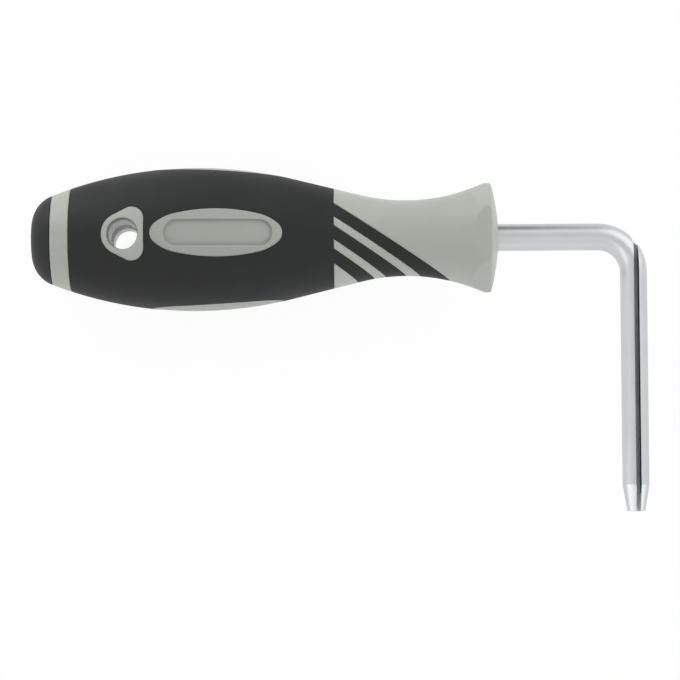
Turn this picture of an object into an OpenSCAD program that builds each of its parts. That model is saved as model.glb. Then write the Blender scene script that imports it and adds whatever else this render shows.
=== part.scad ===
// Spoke wrench: a bent, slotted bar in a moulded two-shot handle.
// Millimetres. The tool lies flat: +X runs from the butt to the collar, the leg points to -Y,
// and the slot opens to +Z and a little to +X. The origin is the middle of the hanging hole,
// on the handle's axis.

/* [Handle] */
// Largest diameter of the belly
belly_d = 32; // [30:0.1:33]
// Distance from the butt end to the fullest point of the belly
belly_x = 36.8; // [35:0.1:38]
// Radius of the long arc along the belly
belly_arc = 89; // [85:1:93]
// Smallest diameter, at the neck
neck_d = 16.9; // [15:0.1:18]
// Distance from the butt end to the smallest part of the neck
neck_x = 83.4; // [82:0.1:84.5]
// Radius of the hollow arc along the neck
neck_arc = 42; // [40:1:46]
// Radius of the rounded butt end
butt_arc = 6.9; // [6:0.1:8]

/* [Collar] */
// Distance from the butt end to the end of the flare
rim_x = 101; // [99:0.1:101.5]
// Radius of the rounded rim
rim_arc = 1; // [0.6:0.1:1.4]
// Radius of the domed front face
front_arc = 45; // [40:1:80]
// Width of the six-sided collar, flat to flat
collar_w = 22.2; // [21.6:0.1:23]
// Radius of the crowned sides of the collar
collar_crown = 40; // [30:1:60]
// Radius of the rounded front edge of those sides
edge_arc = 0.8; // [0.5:0.1:1]

/* [Grip] */
// Thickness of the soft skin
skin_t = 1.4; // [1:0.1:2]
// Distance from the butt end to the front of the butt cap
cap_x = 4.7; // [4.4:0.1:5.6]
// Distance from the butt end to the rear edge of the sleeve
sleeve_x0 = 8.8; // [8:0.1:10]
// Distance from the butt end to the front edge of the sleeve
sleeve_x1 = 67.4; // [64:0.1:70]
// Depth of the hard lands below the soft skin
land_drop = 0.05; // [0.05:0.05:0.4]
// Diameter of the spigot that the butt cap sits on
spigot_d = 11; // [8:0.5:13]
// Thickness of the butt cap's end wall
cap_wall = 1.8; // [1.4:0.1:2.4]

/* [Stripes] */
// Number of stripes on the neck
stripe_count = 3; // [2:1:3]
// Slant of the stripes to the handle's axis
stripe_angle = 32.8; // [29:0.1:36]
// Width of a stripe
stripe_w = 2.65; // [2:0.05:3]
// Distance from one stripe to the next, across them
stripe_pitch = 4.3; // [3.8:0.1:4.6]
// Height of the first stripe above the axis, where it leaves the sleeve
stripe_y = 5.4; // [4.5:0.05:6]

/* [Lands] */
// Distance from the butt end to the middle of the ovals
oval_x = 41.6; // [41:0.1:43]
// Half of an oval's length
oval_a = 14.5; // [14:0.05:14.8]
// Half of an oval's width
oval_b = 5.3; // [5:0.05:5.6]
// Radius of an oval's ends
oval_end = 2.7; // [2.4:0.1:3]
// Radius of the shoulders between an oval's ends and sides
oval_hip = 10.1; // [9:0.1:11]
// Turn of an oval's edge over each half of its ends
oval_turn = 49.5; // [48:0.5:51]
// Distance from the butt end to the middle of the bare recess in the front and back ovals
recess_x = 42; // [41.4:0.1:42.4]
// Length of that recess
recess_l = 23.9; // [20:0.1:24.2]
// Width of that recess
recess_w = 5.8; // [4:0.1:6]
// Depth of that recess
recess_depth = 0.45; // [0.3:0.05:0.6]

/* [Hanging hole] */
// Distance from the butt end to the hanging hole
hole_x = 21; // [20.5:0.1:21.4]
// Diameter of the hanging hole
hole_d = 6.4; // [6:0.1:6.8]
// Radius of the boss round the hole
boss_r = 4.7; // [4.4:0.05:4.9]
// Distance from the hole's axis to the boss's straight front edge
boss_front = 4.7; // [4.4:0.05:4.9]
// Half of the boss's height
boss_h = 5.95; // [5.4:0.05:6.2]
// Radius of the boss's front corners
boss_corner = 2.7; // [2:0.1:3]
// Width of the step in the hole's mouths
mouth_w = 0.33; // [0.2:0.01:0.45]
// Depth of that step
mouth_depth = 2.4; // [1:0.1:3]

/* [Shank] */
// Diameter of the bar
bar_d = 6; // [5.6:0.1:6.4]
// Distance from the butt end to the leg's axis
leg_x = 134; // [125:0.1:140]
// Distance from the handle's axis to the end of the tip
leg_l = 61.1; // [50:0.1:80]
// Radius of the elbow along the middle of the bar
bend_arc = 8; // [7:0.1:10]
// Distance from the butt end to the buried end of the bar
buried_x = 44; // [40:1:50]
// Distance from the butt end to the rear of the swaged wings
wing_x = 56; // [54:1:60]
// Width over the swaged wings
wing_w = 9; // [8:0.1:10]
// Thickness of the wings
wing_t = 2.4; // [2:0.1:3]

/* [Tip] */
// Diameter of the tip's end
tip_d = 4; // [4:0.1:4.4]
// Length of the tip's taper
tip_l = 5.8; // [5:0.1:7]
// Width of the nipple socket, flat to flat
socket_w = 2.9; // [2.7:0.05:2.9]
// Diameter that the socket's corners are rounded to
socket_corner_d = 3.5; // [3.4:0.05:3.5]
// Depth of the nipple socket
socket_depth = 4; // [3:0.1:5]
// Diameter of the spoke bore
bore_d = 2.6; // [2.3:0.05:2.7]
// Width of the spoke slot
slot_w = 1.1; // [1:0.05:1.4]
// Turn of the slot and the socket about the leg's axis, away from the handle
slot_turn = 10; // [0:1:20]
// Width of the chamfer along the slot's edges
slot_chamfer = 0.12; // [0.1:0.01:0.3]

/* [Hidden] */
$fn = 180;

belly_r = belly_d / 2;
neck_r = neck_d / 2;
bar_r = bar_d / 2;
// A size past every outline, an oversize for cuts, and an overlap that lets rounds cross what they touch
reach = 60;
over = 2;
tuck = 0.01;

// Radii, from the handle's axis, of the centres of the profile's arcs
belly_c = belly_r - belly_arc;
neck_c = neck_r + neck_arc;
butt_c = belly_c + sqrt(pow(belly_arc - butt_arc, 2) - pow(belly_x - butt_arc, 2));

// Where the butt's round meets the belly, and the slope of the straight taper between belly and neck
butt_end = belly_x - (belly_x - butt_arc) * belly_arc / (belly_arc - butt_arc);
arcs_dx = neck_x - belly_x;
arcs_dr = neck_c - belly_c;
taper = atan2(arcs_dx, arcs_dr) - acos((belly_arc + neck_arc) / norm([arcs_dx, arcs_dr]));

// The rim's round touches the flare, and the front dome touches the rim's round
flare = asin((rim_x - neck_x) / neck_arc);
rim_cx = neck_x + (neck_arc + rim_arc) * sin(flare);
rim_c = neck_c - (neck_arc + rim_arc) * cos(flare);
front_cx = rim_cx - sqrt(pow(front_arc - rim_arc, 2) - rim_c * rim_c);
front_r = rim_c * front_arc / (front_arc - rim_arc);

// Where the rounded front edge of the collar's sides begins, so that it ends just above the dome
edge_x = front_cx + sqrt(pow(front_arc, 2) - pow(collar_w / 2 - edge_arc, 2)) + tuck - edge_arc;

// Where the shank's stem, elbow and leg meet
elbow_x = leg_x - bend_arc;
wing_l = 10;
wing_ramp = 2;

// Puts a shape that is measured from the butt end into the part's frame
module from_butt() {
    translate([-hole_x, 0, 0]) children();
}

// Turns a profile, drawn as radius and distance from the butt, about the handle's axis
module turned() {
    rotate([0, 90, 0]) rotate_extrude() children();
}

// Carries an outline on the XY plane through the whole handle, seen from the front or from the side
module through(side = false) {
    rotate([side ? 90 : 0, 0, 0]) linear_extrude(reach, center = true) children();
}

// Belly, straight taper and neck, set in by t
module long_profile(t) {
    slope = [cos(taper), sin(taper)];
    belly_end = [belly_c, belly_x] + (belly_arc - t - tuck) * slope;
    neck_start = [neck_c, neck_x] - (neck_arc + t - tuck) * slope;
    difference() {
        union() {
            intersection() {
                translate([belly_c, belly_x]) circle(belly_arc - t);
                translate([0, butt_end]) square([belly_d, (belly_end.y + neck_start.y) / 2 - butt_end]);
            }
            polygon([[0, belly_x], belly_end, neck_start, [0, neck_x]]);
            translate([0, neck_start.y]) square([belly_d, rim_x - neck_start.y]);
        }
        translate([neck_c, neck_x]) circle(neck_arc + t);
    }
}

// Rounded butt end
module butt_profile() {
    translate([0, tuck]) square([butt_c, belly_x]);
    intersection() {
        translate([butt_c, butt_arc + tuck]) circle(butt_arc + tuck);
        square([belly_d, belly_x]);
    }
}

// Rounded rim and domed front face
module front_profile() {
    intersection() {
        translate([0, front_cx]) circle(front_arc);
        translate([0, rim_x - rim_arc / 2]) square([front_r, belly_d]);
    }
    translate([rim_c, rim_cx]) circle(rim_arc + tuck);
}

// Disc whose edge is one crowned side of the collar, with a rounded front
module collar_side() {
    translate([collar_w / 2 - collar_crown, 0, 0]) rotate_extrude() {
        translate([0, -over]) square([collar_crown - edge_arc, reach + 2 * over]);
        translate([0, -over]) square([collar_crown - tuck, edge_x - neck_x + over]);
        translate([collar_crown - edge_arc, edge_x - neck_x]) circle(edge_arc);
    }
}

// Everything outside the collar's six sides, from the neck forward
module collar_waste() {
    translate([neck_x, 0, 0]) rotate([0, 90, 0]) difference() {
        cylinder(h = reach, r = belly_d);
        intersection_for (side = [0:5]) rotate(60 * side) collar_side();
    }
}

// Outer form of the whole handle
module handle_form() {
    difference() {
        turned() {
            butt_profile();
            long_profile(0);
            front_profile();
        }
        collar_waste();
    }
}

// Skin of the handle, from t inward of its surface to well outside it
module skin(t) {
    difference() {
        turned() long_profile(-over);
        turned() long_profile(t);
    }
}

// Oval made of arcs: two sides, four shoulders and two ends, each round crossing the next
module oval() {
    end_c = oval_a - oval_end;
    hip = [end_c, 0] - (oval_hip - oval_end) * [cos(oval_turn), sin(oval_turn)];
    rise = hip.y - oval_b;
    side_arc = (oval_hip * oval_hip - hip.x * hip.x - rise * rise) / (2 * (rise + oval_hip));
    side_c = oval_b - side_arc;
    hip_x = hip.x * side_arc / (side_arc - oval_hip);
    end_x = end_c + oval_end * cos(oval_turn);
    intersection() {
        translate([0, side_c]) circle(side_arc);
        translate([0, -side_c]) circle(side_arc);
        square([2 * hip_x, 4 * oval_b], center = true);
    }
    for (end = [0, 180]) rotate(end) {
        intersection() {
            translate(hip) circle(oval_hip + tuck);
            translate([hip.x, -hip.y]) circle(oval_hip + tuck);
            translate([hip.x, -oval_b]) square([end_x - hip.x, 2 * oval_b]);
        }
        translate([end_c, 0]) circle(oval_end + 2 * tuck);
    }
}

// Boss of the hanging hole: round behind, straight in front, with straight flanks between its rounds
module boss() {
    corner = [boss_front - boss_corner, boss_h - boss_corner];
    tilt = atan2(corner.y, corner.x) + acos((boss_r - boss_corner) / norm(corner));
    back = (boss_r - tuck) * [cos(tilt), sin(tilt)];
    top = corner + (boss_corner - tuck) * [cos(tilt), sin(tilt)];
    front = [boss_front - tuck, corner.y];
    polygon([back, [back.x, -back.y], [top.x, -top.y], [front.x, -front.y], front, top]);
    circle(boss_r);
    for (side = [-1, 1]) translate([corner.x, side * corner.y]) circle(boss_corner);
}

// Recess with round ends
module recess() {
    square([recess_l - recess_w, recess_w - 2 * tuck], center = true);
    for (end = [-1, 1]) translate([end * (recess_l - recess_w) / 2, 0]) circle(d = recess_w);
}

// Windows in the soft skin: four ovals and the boss's two ends
module windows() {
    for (side = [false, true]) through(side) translate([oval_x, 0]) oval();
    through() translate([hole_x, 0]) boss();
}

// Slanting stripes, from the sleeve's front edge to past the leg side of the neck
module stripes() {
    translate([sleeve_x1, stripe_y]) rotate(-stripe_angle)
        for (i = [0:stripe_count - 1]) translate([-over, -i * stripe_pitch - stripe_w / 2])
            square([reach, stripe_w]);
}

// Room that the soft skin takes out of the handle
module grip_space() {
    difference() {
        intersection() {
            skin(skin_t);
            through() {
                translate([sleeve_x0, -reach / 2]) square([sleeve_x1 - sleeve_x0, reach]);
                intersection() {
                    stripes();
                    translate([sleeve_x1 - over / 2, -reach / 2]) square([reach, reach]);
                }
            }
        }
        windows();
    }
}

// Room that the butt cap takes out of the handle
module cap_space() {
    difference() {
        translate([-over, 0, 0]) rotate([0, 90, 0]) cylinder(h = cap_x + over, d = belly_d);
        translate([cap_wall, 0, 0]) rotate([0, 90, 0]) cylinder(h = cap_x, d = spigot_d);
    }
}

// Hanging hole with a step in both of its mouths
module hanging_hole() {
    through() translate([hole_x, 0]) circle(d = hole_d);
    intersection() {
        skin(land_drop + mouth_depth);
        through() translate([hole_x, 0]) circle(hole_d / 2 + mouth_w);
    }
}

// Straight stem of the bar with the swaged wings that lock it in the handle
module stem() {
    translate([buried_x, 0, 0]) rotate([0, 90, 0]) cylinder(h = elbow_x - buried_x, r = bar_r);
    translate([wing_x, 0, 0]) linear_extrude(wing_t, center = true) polygon([
        [0, 0], [wing_ramp, wing_w / 2], [wing_l - wing_ramp, wing_w / 2],
        [wing_l, 0], [wing_l - wing_ramp, -wing_w / 2], [wing_ramp, -wing_w / 2]
    ]);
}

module elbow() {
    translate([elbow_x, -bend_arc, 0]) rotate_extrude(angle = 90) translate([bend_arc, 0]) circle(bar_r);
}

// Places a shape that is drawn along Z on the leg's axis, running from the handle's axis to the tip
module along_leg(from) {
    translate([leg_x, -from, 0]) rotate([90, 0, 0]) children();
}

// Leg with its tapered tip
module leg() {
    straight = leg_l - tip_l - bend_arc;
    end = straight + tip_l;
    along_leg(bend_arc) rotate_extrude()
        polygon([[0, 0], [bar_r, 0], [bar_r, straight], [tip_d / 2, end], [0, end]]);
}

// Slot that lets a spoke into the bore, with a chamfer along its edges
module slot() {
    half = slot_w / 2;
    edge = half + slot_chamfer;
    edge_z = sqrt(bar_r * bar_r - edge * edge);
    along_leg(-over) rotate(-slot_turn) linear_extrude(leg_l + 2 * over) polygon([
        [-half, 0], [half, 0], [half, edge_z - slot_chamfer], [edge, edge_z], [edge, bar_d],
        [-edge, bar_d], [-edge, edge_z], [-half, edge_z - slot_chamfer]
    ]);
}

// Square nipple socket with rounded corners
module socket() {
    along_leg(leg_l - socket_depth) rotate(-slot_turn) linear_extrude(socket_depth + over) intersection() {
        square(socket_w, center = true);
        circle(d = socket_corner_d);
    }
}

module handle_core() {
    color("#a3a9a2") from_butt() difference() {
        handle_form();
        grip_space();
        cap_space();
        intersection() {
            skin(land_drop);
            windows();
        }
        intersection() {
            skin(land_drop + recess_depth);
            through() translate([recess_x, 0]) recess();
        }
        hanging_hole();
        stem();
    }
}

module grip_sleeve() {
    color("#323433") from_butt() intersection() {
        handle_form();
        grip_space();
    }
}

module butt_cap() {
    color("#3e403f") from_butt() intersection() {
        handle_form();
        cap_space();
    }
}

module shank() {
    color("silver") from_butt() difference() {
        union() {
            stem();
            elbow();
            leg();
        }
        slot();
        along_leg(-over) cylinder(h = leg_l + 2 * over, d = bore_d);
        socket();
    }
}

handle_core();
grip_sleeve();
butt_cap();
shank();
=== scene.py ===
"""Looks of a spoke wrench: a bent, slotted bar in a moulded two-shot handle."""

import math

import bmesh
import bpy
from bpy.props import FloatProperty, FloatVectorProperty, PointerProperty
from mathutils import Matrix, Vector


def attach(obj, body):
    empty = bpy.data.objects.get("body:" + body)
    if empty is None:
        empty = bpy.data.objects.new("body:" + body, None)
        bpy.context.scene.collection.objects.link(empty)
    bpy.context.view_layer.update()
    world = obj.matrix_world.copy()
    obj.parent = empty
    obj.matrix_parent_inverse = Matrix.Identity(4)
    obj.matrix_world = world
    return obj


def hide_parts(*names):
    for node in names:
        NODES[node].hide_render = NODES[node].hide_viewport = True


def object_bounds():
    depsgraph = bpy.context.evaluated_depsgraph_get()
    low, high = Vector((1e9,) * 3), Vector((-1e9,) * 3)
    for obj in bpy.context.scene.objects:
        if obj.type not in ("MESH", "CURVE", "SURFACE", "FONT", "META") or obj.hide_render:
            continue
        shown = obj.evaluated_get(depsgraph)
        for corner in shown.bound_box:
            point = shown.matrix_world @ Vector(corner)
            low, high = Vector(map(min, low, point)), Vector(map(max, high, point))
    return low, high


bl_info = {
    "name": "Spoke wrench",
    "version": (1, 0, 0),
    "blender": (4, 5, 0),
    "location": "3D View > Sidebar > Spoke wrench",
    "description": "Finishes the pieces of a spoke wrench and sets them on a plain stage",
    "category": "Object",
}

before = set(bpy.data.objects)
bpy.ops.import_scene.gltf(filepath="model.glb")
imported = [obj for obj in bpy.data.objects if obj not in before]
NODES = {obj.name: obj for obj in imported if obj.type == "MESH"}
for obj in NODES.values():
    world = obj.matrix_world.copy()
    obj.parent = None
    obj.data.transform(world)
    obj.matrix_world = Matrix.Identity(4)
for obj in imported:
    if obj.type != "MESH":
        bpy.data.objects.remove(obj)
CAD_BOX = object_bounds()

# The bar: its radius, the middle and radius of its bend, and the middle line of the leg
BAR_R = 0.003
BEND = (0.105, -0.008)
BEND_R = 0.008
LEG_X = BEND[0] + BEND_R
# The leg's tip: its end, its radius there, and how fast it widens
TIP_Y = -0.0611
TIP_R = 0.002
TIP_SLOPE = 0.001 / 0.0058
# Inside the bar: how deep the plating goes, the bore's reach and its blur, the end of the socket,
# and the stretch where the bore comes out at the bend. The walls of slot and socket are painted
# dark as painted shade, the bore lighter as painted light, and the bore's stretch at the bend
# darker again as painted shade
PLATING_DEPTH = (0.0001, 0.0002)
BORE_R = 0.00155
BORE_BLUR = 0.0001
SOCKET_END = (TIP_Y + 0.0038, TIP_Y + 0.0041)
OUTLET = (-0.011, 0.001)
# Scale of the drawn lines along the bar, as a part of their scale across it
DRAWN_ALONG = 0.02

# The hanging hole: its reach and blur, and the ends and blur of the dull band round its wall
HOLE_R = 0.00354
HOLE_BLUR = 0.00003
DULL_ENDS = (-0.0055, 0.0022)
DULL_BLUR = 0.0018
# The ovals' colour, darker than the rest of the core: its reach along the handle, and its blur
DARK_ENDS = (0.0056, 0.0356)
DARK_BLUR = 0.0006
# Radius to which the core's edges are softened
CORE_EDGE = 0.0005

# The handle's turned form: middles and radii of the arcs of its butt, belly and neck, as
# distances along and from its axis
BUTT = Vector((-0.0141, 0.003462))
BUTT_ARC = 0.0069
BELLY = Vector((0.0158, -0.073))
BELLY_ARC = 0.089
NECK = Vector((0.0624, 0.05045))
NECK_ARC = 0.042
# The straight taper between belly and neck: its slope, and where it starts and ends
APART = NECK - BELLY
TAPER = math.atan2(*APART) - math.acos((BELLY_ARC + NECK_ARC) / APART.length)
TAPER_NORMAL = Vector((math.sin(TAPER), math.cos(TAPER)))
BELLY_END = BELLY + BELLY_ARC * TAPER_NORMAL
NECK_START = NECK - NECK_ARC * TAPER_NORMAL

# The sleeve: its two ends and its thickness
SLEEVE_REAR = -0.0122
SLEEVE_FRONT = 0.0464
SLEEVE_T = 0.0014
# Its rims: the level strip before the rounding, the turns of the rounding, and the least divisor
# at a corner, which keeps a sharp one from running out
RIM_STRIP = 0.0001
RIM_TURNS = (22.5, 45, 67.5, 90)
MITRE = 0.3
# Its flat pattern, in millimetres: scales along and round the handle, and the cuts between its
# faces, one every millimetre along it and one every three degrees round it
FLAT_ALONG = 1000
FLAT_ROUND = 16
CUTS_ALONG = range(-11, 72)
CUTS_ROUND = range(-87, 90, 3)
# Its stripes: slant, height of the first at the sleeve's front edge, pitch and width
SLANT = math.radians(32.8)
STRIPE_Y = 0.0054
STRIPE_PITCH = 0.0043
STRIPE_W = 0.00265
# Points along a stripe's edge, how far from the sleeve's front they are looked for, and in how
# many halvings
EDGE_STEPS = 60
EDGE_REACH = (-0.001, 0.03)
EDGE_HALVINGS = 40

# The ovals: middle, half length, half width, radii of ends and shoulders, and degrees of an end
OVAL_X = 0.0206
OVAL_A = 0.0145
OVAL_B = 0.0053
OVAL_END = 0.0027
OVAL_HIP = 0.0101
OVAL_TURN = 49.5
# The boss round the hanging hole: radius, straight front, half height, radius of its corners, and
# steps along a straight flank
BOSS_R = 0.0047
BOSS_FRONT = 0.0047
BOSS_H = 0.00595
BOSS_CORNER = 0.0027
FLANK_STEPS = 8

# The cap: its two ends, the thickness of its bottom and the radius of its hollow
CAP_REAR = -0.020998
CAP_FRONT = -0.0163
CAP_WALL = 0.0018
SPIGOT_R = 0.0055
# Its outline: degrees of the butt's arc and of the rim's, the depth of the rim's middle in radii
# of the rim, and the faces round it
CAP_ARC = (178, 113)
CAP_RIM_ARC = (111, 0)
CAP_RIM_DEPTH = 1.4586
CAP_FACES = 120
# Edges that turn more than this stay sharp
SHARP = math.radians(50)

# The stage: the floor's half width, its underside and top below the tool, its share of glow, and
# the share added for the camera, reflections and what is seen through something
FLOOR_HALF = 2
FLOOR_DEPTHS = (0.002, 0.00002)
FLOOR_GLOW = 0.15
FLOOR_SEEN_GLOW = 0.8
# The lamps: the point that they are turned to, and their places and sizes
LAMP_AIM = (0.04, -0.01, 0)
KEY_PLACE = (-0.4, 0.6, 0.2)
KEY_SIZE = 0.4
SIDE_PLACE = (0.5, 0.4, 0.3)
SIDE_SIZE = 0.7
# Cards that only reflections see: name, corner on the floor, upper corner, shader and grey. The
# flag draws the dark line along the stem, and the reflector keeps the handle's reflection off the
# leg
CARDS = (
    ("stage_flag", (0.072, 0.07), (0.1, 0.071, 0.04), "ShaderNodeBsdfDiffuse", 0.2),
    ("stage_reflector", (0.0945, -0.05), (0.095, -0.006, 0.012), "ShaderNodeEmission", 1),
)


class Value:
    """A shader socket that takes part in Python expressions."""

    def __init__(self, paint, socket):
        self.paint = paint
        self.socket = socket

    def math(self, operation, first, second):
        return self.paint.node("ShaderNodeMath", {"operation": operation}, {0: first, 1: second})

    def __add__(self, other):
        return self.math("ADD", self, other)

    def __radd__(self, other):
        return self.math("ADD", other, self)

    def __sub__(self, other):
        return self.math("SUBTRACT", self, other)

    def __rsub__(self, other):
        return self.math("SUBTRACT", other, self)

    def __mul__(self, other):
        return self.math("MULTIPLY", self, other)

    def __rmul__(self, other):
        return self.math("MULTIPLY", other, self)

    def at_least(self, other):
        return self.math("MAXIMUM", self, other)

    def at_most(self, other):
        return self.math("MINIMUM", self, other)

    def root(self):
        return self.math("SQRT", self, 0)

    def between(self, low, high):
        """0 below low, 1 above high, and smooth between them."""
        return self.paint.node("ShaderNodeMapRange", {"interpolation_type": "SMOOTHSTEP"},
                               {"Value": self, "From Min": low, "From Max": high})


class Paint:
    """The nodes of one material or world."""

    def __init__(self, tree):
        self.tree = tree
        tree.nodes.clear()

    def node(self, kind, settings=None, sockets=None, out=0):
        """Adds a node, sets it up, links its sockets and returns one of its outputs."""
        made = self.tree.nodes.new(kind)
        for name, setting in (settings or {}).items():
            setattr(made, name, setting)
        for name, value in (sockets or {}).items():
            if isinstance(value, Value):
                self.tree.links.new(value.socket, made.inputs[name])
            else:
                made.inputs[name].default_value = value
        return Value(self, made.outputs[out]) if made.outputs else None

    def place(self):
        """The place on the piece that patterns read."""
        return self.node("ShaderNodeTexCoord", out="Object")

    def noise(self, where, scale, detail=2, roughness=0.5):
        return self.node("ShaderNodeTexNoise", None,
                         {"Vector": where, "Scale": scale, "Detail": detail,
                          "Roughness": roughness})

    def tint(self, amount, first, second):
        """A colour between two colours."""
        return self.node("ShaderNodeMix", {"data_type": "RGBA"},
                         {0: amount, 6: first, 7: second}, out=2)

    def split(self, where):
        """The three parts of a place or a direction."""
        return [self.node("ShaderNodeSeparateXYZ", None, {"Vector": where}, out=part)
                for part in "XYZ"]

    def bump(self, height, distance, **normal):
        return self.node("ShaderNodeBump", None,
                         {"Height": height, "Distance": distance, **normal})


def new_finish(name):
    """A material with an empty tree."""
    material = bpy.data.materials.new(name)
    material.use_nodes = True
    return material, Paint(material.node_tree)


def shaded(colour, factor):
    """A colour made darker or lighter."""
    return (*[min(1, c * factor) for c in colour[:3]], 1)


def surface(paint, **sockets):
    """Ends a material in one Principled shader."""
    named = {name.replace("_", " "): value for name, value in sockets.items()}
    shader = paint.node("ShaderNodeBsdfPrincipled", None, named)
    paint.node("ShaderNodeOutputMaterial", None, {"Surface": shader})


def hard_plastic(colour):
    """Satin moulded plastic: clouds and fine grain, darker ovals and a smoother hanging hole."""
    material, paint = new_finish("hard_plastic")
    place = paint.place()
    x, y, z = paint.split(place)
    hole = 1 - (x * x + y * y).root().between(HOLE_R, HOLE_R + HOLE_BLUR)
    dull_from, dull_to = [z.between(end - DULL_BLUR, end + DULL_BLUR) for end in DULL_ENDS]
    rear, front = DARK_ENDS
    oval = x.between(rear - DARK_BLUR, rear) - x.between(front, front + DARK_BLUR)
    cloud = paint.noise(place, scale=90, detail=3)
    speck = paint.noise(place, scale=2600, detail=1)
    grain = paint.noise(place, scale=5200, roughness=0.6)
    edges = paint.node("ShaderNodeBevel", {"samples": 8}, {"Radius": CORE_EDGE})
    body = paint.tint(cloud, shaded(colour, 0.955), shaded(colour, 1.04))
    body = paint.tint(oval * 0.75, body, shaded(colour, 0.86))
    body = paint.tint(speck.between(0.62, 0.78) * 0.2, body, shaded(colour, 1.2))
    # The hole's wall is dullest in the band, and keeps a part of that in front of it
    wall = hole * (dull_from * 0.208 - dull_to * 0.13 - 0.3)
    rough = 0.4 + cloud * 0.1 + grain * 0.08 + oval * 0.15 + wall
    surface(paint, Base_Color=body, Roughness=rough, IOR=1.46, Subsurface_Weight=0.4,
            Subsurface_Radius=(1, 1, 1), Subsurface_Scale=0.002,
            Normal=paint.bump(grain, distance=0.000012, Normal=edges))
    return material


def soft_plastic(name, colour, grain_scale, rough):
    """Matt rubbery plastic: pebbled grain, in places worn a little lighter and smoother."""
    material, paint = new_finish(name)
    place = paint.place()
    cloud = paint.noise(place, scale=70, detail=3)
    pebble = paint.noise(place, grain_scale, roughness=0.55)
    worn = cloud.between(0.5, 0.8)
    body = paint.tint(pebble, shaded(colour, 0.8), shaded(colour, 1.2))
    body = paint.tint(worn * 0.35, body, shaded(colour, 1.7))
    surface(paint, Base_Color=body, Roughness=rough + pebble * 0.12 - worn * 0.05,
            Specular_IOR_Level=0.28, Normal=paint.bump(pebble, distance=0.00003))
    return material


def plated_steel(colour):
    """Bright plating on drawn bar: faint lines along it, clouds and dull specks, and a slot with
    painted shade on its walls and painted light in its bore.
    """
    material, paint = new_finish("plated_steel")
    place = paint.place()
    x, y, z = paint.split(place)
    # Distance from the bar's middle line: in the plane of the bend, and in all
    past_x = (x - BEND[0]).at_least(0)
    past_y = (y - BEND[1]).at_least(0)
    across = (past_x * past_x + past_y * past_y).root() - BEND_R
    off_line = (across * across + z * z).root()
    # What lies under the plating belongs to the bore, or else to the walls of slot and socket;
    # the walls are painted dark as painted shade, and the bore lighter as painted light
    skin = ((y - TIP_Y) * TIP_SLOPE + TIP_R).at_most(BAR_R)
    inside = (skin - off_line).between(*PLATING_DEPTH)
    off_leg = x - LEG_X
    bore_edge = (off_leg * off_leg + z * z).root().between(BORE_R, BORE_R + BORE_BLUR)
    bore_painted_light = inside * (1 - bore_edge)
    walls = inside - bore_painted_light
    socket = 1 - y.between(*SOCKET_END)
    outlet_painted_shade = y.between(*OUTLET)
    cloud = paint.noise(place, scale=160, detail=3)
    speck = paint.noise(place, scale=3200, detail=1)
    along = paint.node("ShaderNodeCombineXYZ", None,
                       {"X": across, "Y": z, "Z": (x - y) * DRAWN_ALONG})
    drawn = paint.noise(along, scale=3000)
    body = paint.tint(cloud, shaded(colour, 0.95), shaded(colour, 1.03))
    body = paint.tint(drawn.between(0.35, 0.65) * 0.5, body, shaded(colour, 0.93))
    # Painted shade: the walls of slot and socket nearly black; near the tip, the socket's walls go
    # back to a grey
    body = paint.tint(walls, body, shaded(colour, 0.03))
    body = paint.tint(walls * socket, body, shaded(colour, 0.9))
    # Painted light: the bore lighter than the plating, as if lit through the slot
    body = paint.tint(bore_painted_light, body, shaded(colour, 1.38))
    # Painted shade: the bore darker where it comes out at the bend
    body = paint.tint(bore_painted_light * outlet_painted_shade, body, shaded(colour, 0.74))
    rough = 0.26 + cloud * 0.08 + drawn * 0.08 + speck.between(0.68, 0.8) * 0.1
    rough = rough + walls * 0.4 + bore_painted_light * 0.2
    surface(paint, Base_Color=body, Metallic=1 - walls * 0.95, Roughness=rough,
            Specular_IOR_Level=0.1, Normal=paint.bump(drawn + speck * 0.5, distance=0.000003))
    return material


class WrenchGrip(bpy.types.PropertyGroup):
    """Sizes of the soft pieces that may change."""

    rim: FloatProperty(
        name="Rim", description="Radius of the sleeve's rounded rims", unit="LENGTH",
        min=0.00005, max=0.0004, precision=5, default=0.0002)
    cap_rim: FloatProperty(
        name="Cap rim", description="Radius of the butt cap's rounded front edge", unit="LENGTH",
        min=0.0001, max=0.0005, precision=5, default=0.0003)


class WrenchFinishes(bpy.types.PropertyGroup):
    """Colours of the four pieces, the butt cap's made lighter than the grip's as painted light."""

    hard: FloatVectorProperty(
        name="Hard plastic", description="Colour of the handle's core", subtype="COLOR", size=3,
        min=0, max=1, default=(0.333, 0.353, 0.321))
    soft: FloatVectorProperty(
        name="Soft grip", description="Colour of the soft grip", subtype="COLOR", size=3,
        min=0, max=1, default=(0.0096, 0.0107, 0.0103))
    # The butt cap is the grip's soft plastic, coloured a little lighter as painted light where it
    # faces the light
    cap: FloatVectorProperty(
        name="Butt cap", description="Colour of the butt cap", subtype="COLOR", size=3,
        min=0, max=1, default=(0.0135, 0.0147, 0.0143))
    plating: FloatVectorProperty(
        name="Plating", description="Colour of the plated bar", subtype="COLOR", size=3,
        min=0, max=1, default=(0.578, 0.59, 0.599))


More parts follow.
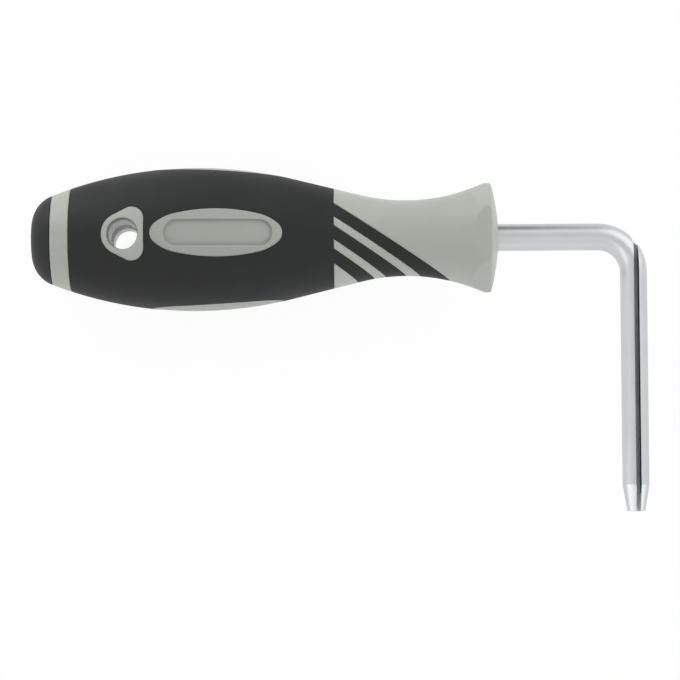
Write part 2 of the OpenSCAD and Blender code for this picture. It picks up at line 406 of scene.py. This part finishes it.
class WrenchStage(bpy.types.PropertyGroup):
    """Camera and light."""

    eye: FloatVectorProperty(
        name="Camera", description="Place of the camera", subtype="TRANSLATION", size=3,
        unit="LENGTH", default=(0.05426, -0.081477, 0.767134))
    turn: FloatVectorProperty(
        name="Camera turn", description="Turn of the camera", subtype="EULER", size=3,
        default=(math.radians(4.380), math.radians(0.527), math.radians(-0.330)))
    lens: FloatProperty(
        name="Lens", description="Focal length in millimetres on a 36 mm frame", min=10,
        default=182.99)
    above: FloatProperty(
        name="Above", description="Brightness of the surroundings overhead", min=0, max=2,
        default=0.32)
    around: FloatProperty(
        name="Around", description="Brightness of the surroundings at the horizon", min=0, max=2,
        default=1.12)
    fill: FloatProperty(
        name="Fill", description="How much brighter the surroundings are in front of the tool",
        min=0, max=1, default=0.4)
    side: FloatProperty(
        name="Side", description="How much brighter the surroundings are beyond the leg",
        min=0, max=2, default=0.9)
    mirrored: FloatProperty(
        name="Mirrored", description="Brightness of the surroundings in reflections",
        min=0, max=2, default=1.09)
    mirrored_top: FloatProperty(
        name="Mirrored top", description="How much darker reflections are overhead",
        min=0, max=1, default=0.26)
    mirrored_side: FloatProperty(
        name="Mirrored side", description="How much darker reflections are beyond the leg",
        min=0, max=1, default=0.15)
    dim: FloatProperty(
        name="Dim side", description="How much darker reflections are low behind the tool",
        min=0, max=1, default=0.55)
    glow: FloatProperty(
        name="Glow", description="How much brighter the front corners look in reflections",
        min=0, max=2, default=1.15)
    key: FloatProperty(
        name="Key lamp", description="Power of the soft lamp behind the butt", subtype="POWER",
        min=0, default=2.0)
    side_key: FloatProperty(
        name="Side lamp", description="Power of the soft lamp behind the bend", subtype="POWER",
        min=0, default=1.1)


def dress(piece, material):
    """Gives a piece one material."""
    piece.data.materials.clear()
    piece.data.materials.append(material)


class WRENCH_OT_core(bpy.types.Operator):
    """Finish the hard core of the handle"""

    bl_idname = "wrench.core"
    bl_label = "Handle core"

    def execute(self, context):
        dress(NODES["handle_core"], hard_plastic(context.scene.wrench_finishes.hard))
        return {"FINISHED"}


def arc(middle, radius, start, end, steps=16):
    """Points along an arc between two angles in degrees."""
    turns = [math.radians(start + (end - start) * step / steps) for step in range(steps + 1)]
    return [Vector((middle[0] + radius * math.cos(turn), middle[1] + radius * math.sin(turn)))
            for turn in turns]


def half_oval():
    """Upper half of an oval land, from its front end to its rear end."""
    turn = math.radians(OVAL_TURN)
    end = Vector((OVAL_A - OVAL_END, 0))
    hip = end - (OVAL_HIP - OVAL_END) * Vector((math.cos(turn), math.sin(turn)))
    rise = hip.y - OVAL_B
    side_arc = (OVAL_HIP ** 2 - hip.x ** 2 - rise ** 2) / (2 * (rise + OVAL_HIP))
    side = Vector((0, OVAL_B - side_arc))
    side_turn = math.degrees(math.atan2(hip.y - side.y, hip.x - side.x))
    quarter = arc(end, OVAL_END, 0, OVAL_TURN) + arc(hip, OVAL_HIP, OVAL_TURN, side_turn)[1:]
    quarter += arc(side, side_arc, side_turn, 90)[1:]
    half = quarter + [Vector((-point.x, point.y)) for point in reversed(quarter[:-1])]
    return [point + Vector((OVAL_X, 0)) for point in half]


def half_boss():
    """Upper half of the boss round the hanging hole, from its front to its rear."""
    corner = Vector((BOSS_FRONT - BOSS_CORNER, BOSS_H - BOSS_CORNER))
    lean = math.acos((BOSS_R - BOSS_CORNER) / corner.length)
    tilt = math.degrees(math.atan2(corner.y, corner.x) + lean)
    top = arc(corner, BOSS_CORNER, 0, tilt)
    back = arc((0, 0), BOSS_R, tilt, 180)
    flank = [top[-1].lerp(back[0], step / FLANK_STEPS) for step in range(1, FLANK_STEPS)]
    return [Vector((BOSS_FRONT, 0))] + top + flank + back


def handle_radius(x):
    """Distance of the handle's turned surface from its axis."""
    if x <= BELLY_END.x:
        return BELLY.y + math.sqrt(BELLY_ARC ** 2 - (x - BELLY.x) ** 2)
    if x >= NECK_START.x:
        return NECK.y - math.sqrt(NECK_ARC ** 2 - (x - NECK.x) ** 2)
    return BELLY_END.y - (x - BELLY_END.x) * math.tan(TAPER)


def handle_normal(x, turn):
    """Direction straight out of the handle's turned surface."""
    step = 1e-5
    slope = (handle_radius(x + step) - handle_radius(x - step)) / (2 * step)
    return Vector((-slope, math.sin(turn), math.cos(turn))).normalized()


def from_front(outline):
    """Puts an outline seen from the front on the handle, as distances along it and turns."""
    return [(point.x, math.asin(point.y / handle_radius(point.x))) for point in outline]


def from_side(outline, side):
    """Puts an outline seen from the side on the handle."""
    return [(point.x, side * math.acos(point.y / handle_radius(point.x))) for point in outline]


def stripe_edge(offset):
    """One edge of a stripe, from the sleeve's front edge to the handle's leg side."""
    height = STRIPE_Y + offset / math.cos(SLANT)
    first = math.asin(height / handle_radius(SLEEVE_FRONT))
    edge = []
    for step in range(EDGE_STEPS + 1):
        turn = first + (-math.pi / 2 - first) * step / EDGE_STEPS
        low, high = [SLEEVE_FRONT + reach for reach in EDGE_REACH]
        for halving in range(EDGE_HALVINGS):
            x = (low + high) / 2
            rise = (x - SLEEVE_FRONT) * math.tan(SLANT)
            if handle_radius(x) * math.sin(turn) + rise < height:
                low = x
            else:
                high = x
        edge.append((low, turn))
    return edge


def set_in(outline, distance, closed=False):
    """Moves an outline to its left. An open one's ends slide along the handle's two sides."""
    lefts = []
    pairs = list(zip(outline, outline[1:] + outline[:1]))
    for (x, turn), (next_x, next_turn) in pairs if closed else pairs[:-1]:
        left = Vector(((turn - next_turn) * handle_radius(x), next_x - x))
        lefts.append(left.normalized())
    if closed:
        lefts.insert(0, lefts[-1])
    else:
        lefts.append(Vector((lefts[-1].x, -lefts[-1].y)))
        lefts.insert(0, Vector((lefts[0].x, -lefts[0].y)))
    moved = []
    for (x, turn), before, after in zip(outline, lefts, lefts[1:]):
        way = (before + after) / (1 + before.dot(after))
        moved.append((x + distance * way.x, turn + distance * way.y / handle_radius(x)))
    return moved


def sleeve_outlines(inset):
    """Edges of the sleeve's front half: its outer edge and the windows of boss and oval."""
    low, high = -math.pi / 2, math.pi / 2
    drops = [stripe * STRIPE_PITCH for stripe in range(3)]
    upper = [stripe_edge(STRIPE_W / 2 - drop) for drop in drops]
    lower = [stripe_edge(-STRIPE_W / 2 - drop) for drop in drops]
    rims = [
        [(SLEEVE_REAR, high), (SLEEVE_REAR, low)],
        from_side(reversed(half_oval()), -1),
        [(SLEEVE_FRONT, low)] + lower[2],
        upper[2][::-1] + lower[1],
        upper[1][::-1] + lower[0],
        upper[0][::-1] + [(SLEEVE_FRONT, high)],
        from_side(half_oval(), 1),
    ]
    outlines = [[point for rim in rims for point in set_in(rim, inset)]]
    for half in (half_boss(), half_oval()):
        other_half = [Vector((point.x, -point.y)) for point in half]
        window = from_front(other_half + half[-2:0:-1])
        outlines.append(set_in(window, inset, closed=True))
    return outlines


def sleeve_sheet(outlines):
    """A sheet on the handle: flat outlines, filled, cut into small faces, wrapped and mirrored."""
    shape = bmesh.new()
    for outline in outlines:
        corners = [shape.verts.new((x * FLAT_ALONG, turn * FLAT_ROUND, 0)) for x, turn in outline]
        for first, second in zip(corners, corners[1:] + corners[:1]):
            shape.edges.new((first, second))
    bmesh.ops.triangle_fill(shape, use_beauty=True, edges=shape.edges[:], normal=(0, 0, 1))
    cuts = [((x, 0, 0), (1, 0, 0)) for x in CUTS_ALONG]
    cuts += [((0, math.radians(turn) * FLAT_ROUND, 0), (0, 1, 0)) for turn in CUTS_ROUND]
    for place, normal in cuts:
        everything = shape.verts[:] + shape.edges[:] + shape.faces[:]
        bmesh.ops.bisect_plane(shape, geom=everything, dist=1e-4, plane_co=place, plane_no=normal)
    for vert in shape.verts:
        x = vert.co.x / FLAT_ALONG
        turn = vert.co.y / FLAT_ROUND
        radius = handle_radius(x)
        vert.co = (x, radius * math.sin(turn), radius * math.cos(turn))
    everything = shape.verts[:] + shape.edges[:] + shape.faces[:]
    bmesh.ops.mirror(shape, geom=everything, matrix=Matrix(), merge_dist=1e-6, axis="Z")
    bmesh.ops.remove_doubles(shape, verts=shape.verts[:], dist=1e-5)
    bmesh.ops.recalc_face_normals(shape, faces=shape.faces[:])
    face = next(iter(shape.faces))
    if face.normal.yz.dot(face.calc_center_median().yz) < 0:
        bmesh.ops.reverse_faces(shape, faces=shape.faces[:])
    return shape


def give_thickness(shape, strip, rim, thickness):
    """Rolls a sheet's edges over a rounded rim, and closes it with walls and an inner sheet."""
    normals = {}
    for vert in shape.verts:
        normals[vert] = handle_normal(vert.co.x, math.atan2(vert.co.y, vert.co.z))
    border = [edge for edge in shape.edges if edge.is_boundary]
    outwards = {}
    for edge in border:
        way = (edge.verts[1].co - edge.verts[0].co).normalized()
        for vert in edge.verts:
            out = way.cross(normals[vert])
            if out.dot(edge.link_faces[0].calc_center_median() - vert.co) > 0:
                out.negate()
            outwards.setdefault(vert, []).append(out)
    ring = {}
    for vert, (first, second) in outwards.items():
        outward = (first + second) / max(MITRE, 1 + first.dot(second))
        ring[vert] = (vert, vert.co.copy(), outward, normals[vert])

    copy = bmesh.ops.duplicate(shape, geom=shape.verts[:] + shape.edges[:] + shape.faces[:])
    copied_faces = [item for item in copy["geom"] if isinstance(item, bmesh.types.BMFace)]
    bmesh.ops.reverse_faces(shape, faces=copied_faces)
    inner = {vert: copy["vert_map"][vert] for vert in normals}
    for vert, below in inner.items():
        below.co = vert.co - thickness * normals[vert]

    steps = [(strip, 0)]
    for turn in map(math.radians, RIM_TURNS):
        steps.append((strip + rim * math.sin(turn), rim * (1 - math.cos(turn))))
    steps.append((strip + rim, thickness))
    for out, down in steps:
        made = bmesh.ops.extrude_edge_only(shape, edges=border)["geom"]
        made_edges = [item for item in made if isinstance(item, bmesh.types.BMEdge)]
        border = [edge for edge in made_edges if edge.is_boundary]
        fresh = {}
        for vert in {vert for edge in border for vert in edge.verts}:
            others = [edge.other_vert(vert) for edge in vert.link_edges]
            base, place, outward, normal = next(ring[other] for other in others if other in ring)
            vert.co = place + out * outward - down * normal
            fresh[vert] = (base, place, outward, normal)
        ring = fresh
    joins = {inner[entry[0]]: vert for vert, entry in ring.items()}
    bmesh.ops.weld_verts(shape, targetmap=joins)


def add_piece(name, shape, node, material):
    """Makes a closed shape a piece, smooth between its sharp edges, in the place of a node."""
    if shape.calc_volume(signed=True) < 0:
        bmesh.ops.reverse_faces(shape, faces=shape.faces[:])
    for face in shape.faces:
        face.smooth = True
    for edge in shape.edges:
        if not edge.is_manifold:
            raise RuntimeError(f"{name} isn't closed")
        edge.smooth = edge.calc_face_angle(0) < SHARP
    mesh = bpy.data.meshes.new(name)
    shape.to_mesh(mesh)
    shape.free()
    piece = bpy.data.objects.new(name, mesh)
    bpy.context.scene.collection.objects.link(piece)
    dress(piece, material)
    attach(piece, "root")
    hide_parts(node)


class WRENCH_OT_sleeve(bpy.types.Operator):
    """Make the soft sleeve with its windows and stripes"""

    bl_idname = "wrench.sleeve"
    bl_label = "Grip sleeve"

    def execute(self, context):
        rim = context.scene.wrench_grip.rim
        shape = sleeve_sheet(sleeve_outlines(rim + RIM_STRIP))
        give_thickness(shape, RIM_STRIP, rim, SLEEVE_T)
        colour = context.scene.wrench_finishes.soft
        material = soft_plastic("soft_grip", colour, grain_scale=2200, rough=0.55)
        add_piece("soft_sleeve", shape, "grip_sleeve", material)
        return {"FINISHED"}


class WRENCH_OT_cap(bpy.types.Operator):
    """Make the soft butt cap"""

    bl_idname = "wrench.cap"
    bl_label = "Butt cap"

    def execute(self, context):
        rim = context.scene.wrench_grip.cap_rim
        edge = Vector((CAP_FRONT - rim, handle_radius(CAP_FRONT) - CAP_RIM_DEPTH * rim))
        bottom = CAP_REAR + CAP_WALL
        outline = [Vector((CAP_REAR, 0)), Vector((CAP_REAR, BUTT.y))]
        outline += arc(BUTT, BUTT_ARC, *CAP_ARC, steps=24)
        outline += arc(edge, rim, *CAP_RIM_ARC, steps=8)
        outline += [Vector((CAP_FRONT, SPIGOT_R)), Vector((bottom, SPIGOT_R)), Vector((bottom, 0))]
        shape = bmesh.new()
        points = [shape.verts.new((point.x, 0, point.y)) for point in outline]
        for first, second in zip(points, points[1:]):
            shape.edges.new((first, second))
        bmesh.ops.spin(shape, geom=shape.verts[:] + shape.edges[:], cent=(0, 0, 0),
                       axis=(1, 0, 0), angle=2 * math.pi, steps=CAP_FACES, use_merge=True)
        bmesh.ops.remove_doubles(shape, verts=shape.verts[:], dist=1e-6)
        bmesh.ops.recalc_face_normals(shape, faces=shape.faces[:])
        # The cap's colour, lighter than the grip's, holds painted light
        colour = context.scene.wrench_finishes.cap
        material = soft_plastic("soft_cap", colour, grain_scale=2600, rough=0.52)
        add_piece("soft_cap", shape, "butt_cap", material)
        return {"FINISHED"}


class WRENCH_OT_shank(bpy.types.Operator):
    """Finish the plated shank"""

    bl_idname = "wrench.shank"
    bl_label = "Shank"

    def execute(self, context):
        dress(NODES["shank"], plated_steel(context.scene.wrench_finishes.plating))
        return {"FINISHED"}


def lamp(name, place, size, power):
    """A soft square lamp, turned to the middle of the tool."""
    light = bpy.data.lights.new(name, "AREA")
    light.size = size
    light.energy = power
    made = bpy.data.objects.new(name, light)
    made.location = place
    way = Vector(LAMP_AIM) - Vector(place)
    made.rotation_euler = way.to_track_quat("-Z", "Y").to_euler()
    bpy.context.scene.collection.objects.link(made)


def card(name, low, high, material):
    """A thin upright or flat card between two corners."""
    mesh = bpy.data.meshes.new(name)
    shape = bmesh.new()
    bmesh.ops.create_cube(shape, size=1)
    bmesh.ops.scale(shape, vec=[b - a for a, b in zip(low, high)], verts=shape.verts)
    bmesh.ops.translate(shape, vec=[(a + b) / 2 for a, b in zip(low, high)], verts=shape.verts)
    shape.to_mesh(mesh)
    shape.free()
    made = bpy.data.objects.new(name, mesh)
    bpy.context.scene.collection.objects.link(made)
    mesh.materials.append(material)
    return made


def floor_finish():
    """White for the camera and reflections, with a share of real light so that shadows show."""
    material, paint = new_finish("stage_floor")
    rays = ("Is Camera Ray", "Is Glossy Ray", "Is Transmission Ray")
    direct, mirrored, through = [paint.node("ShaderNodeLightPath", out=ray) for ray in rays]
    glow = paint.node("ShaderNodeEmission", None, {"Color": (1, 1, 1, 1), "Strength": 1})
    matt = paint.node("ShaderNodeBsdfDiffuse", None, {"Color": (0.9, 0.9, 0.9, 1)})
    share = FLOOR_GLOW + (direct + mirrored + through).at_most(1) * FLOOR_SEEN_GLOW
    both = paint.node("ShaderNodeMixShader", None, {0: share, 1: matt, 2: glow})
    paint.node("ShaderNodeOutputMaterial", None, {"Surface": both})
    return material


def card_finish(name, shader, grey):
    """One plain shader, matt or glowing."""
    material, paint = new_finish(name)
    look = paint.node(shader, None, {"Color": (grey, grey, grey, 1)})
    paint.node("ShaderNodeOutputMaterial", None, {"Surface": look})
    return material


def surroundings(stage):
    """Two white rooms: one that lights the tool, and one that reflections see."""
    world = bpy.data.worlds.new("surroundings")
    world.use_nodes = True
    paint = Paint(world.node_tree)
    way = paint.node("ShaderNodeTexCoord", out="Generated")
    right, back, height = paint.split(way)
    front = 0 - back
    level = stage.around + height.between(0.6, 1) * (stage.above - stage.around)
    level = level + front.between(0.2, 0.9) * stage.fill + right.between(0.5, 1) * stage.side
    # The room in reflections
    tent = stage.mirrored - height.between(0.4, 0.95) * stage.mirrored_top
    tent = tent - right.between(0.2, 0.8) * stage.mirrored_side
    tent = tent - back.between(0.7, 1) * (1 - height.between(0.05, 0.8)) * stage.dim
    corners = front.between(0.1, 0.24) * (1 - front.between(0.3, 0.5))
    corners = corners * (right * right).between(0, 0.08)
    tent = tent + corners * stage.glow
    mirrored = paint.node("ShaderNodeLightPath", out="Is Glossy Ray")
    level = level + mirrored * (tent - level)
    light = paint.node("ShaderNodeBackground", None, {"Color": (1, 1, 1, 1), "Strength": level})
    paint.node("ShaderNodeOutputWorld", None, {"Surface": light})
    return world


class WRENCH_OT_stage(bpy.types.Operator):
    """Set the floor, the light and the camera"""

    bl_idname = "wrench.stage"
    bl_label = "Stage"

    def execute(self, context):
        scene = context.scene
        stage = scene.wrench_stage
        floor_z = CAD_BOX[0].z
        bottom, top = [floor_z - depth for depth in FLOOR_DEPTHS]
        low = (-FLOOR_HALF, -FLOOR_HALF, bottom)
        high = (FLOOR_HALF, FLOOR_HALF, top)
        card("stage_floor", low, high, floor_finish())
        scene.world = surroundings(stage)
        lamp("key_lamp", KEY_PLACE, KEY_SIZE, stage.key)
        lamp("side_lamp", SIDE_PLACE, SIDE_SIZE, stage.side_key)
        for name, foot, high, shader, grey in CARDS:
            made = card(name, (*foot, floor_z), high, card_finish(name, shader, grey))
            made.visible_camera = False
            made.visible_diffuse = False
            made.visible_shadow = False

        camera = bpy.data.cameras.new("camera")
        camera.sensor_width = 36
        camera.lens = stage.lens
        camera.clip_start = 0.01
        eye = bpy.data.objects.new("camera", camera)
        eye.location = stage.eye
        eye.rotation_euler = stage.turn
        scene.collection.objects.link(eye)
        scene.camera = eye
        scene.view_settings.view_transform = "Standard"
        return {"FINISHED"}


class WRENCH_PT_panel(bpy.types.Panel):
    """Steps and settings of the spoke wrench"""

    bl_idname = "WRENCH_PT_panel"
    bl_label = "Spoke wrench"
    bl_space_type = "VIEW_3D"
    bl_region_type = "UI"
    bl_category = "Spoke wrench"

    def draw(self, context):
        column = self.layout.column()
        for step in STEPS:
            column.operator(step.bl_idname)
        scene = context.scene
        for group in (scene.wrench_grip, scene.wrench_finishes, scene.wrench_stage):
            for name in group.__annotations__:
                column.prop(group, name)


GROUPS = (WrenchGrip, WrenchFinishes, WrenchStage)
STEPS = (WRENCH_OT_core, WRENCH_OT_sleeve, WRENCH_OT_cap, WRENCH_OT_shank, WRENCH_OT_stage)
CLASSES = (*GROUPS, *STEPS, WRENCH_PT_panel)


def register():
    for cls in CLASSES:
        bpy.utils.register_class(cls)
    bpy.types.Scene.wrench_grip = PointerProperty(type=WrenchGrip)
    bpy.types.Scene.wrench_finishes = PointerProperty(type=WrenchFinishes)
    bpy.types.Scene.wrench_stage = PointerProperty(type=WrenchStage)


def unregister():
    del bpy.types.Scene.wrench_stage
    del bpy.types.Scene.wrench_finishes
    del bpy.types.Scene.wrench_grip
    for cls in reversed(CLASSES):
        bpy.utils.unregister_class(cls)


def main():
    register()
    bpy.ops.wrench.core()
    bpy.ops.wrench.sleeve()
    bpy.ops.wrench.cap()
    bpy.ops.wrench.shank()
    bpy.ops.wrench.stage()


if __name__ == "__main__":
    main()
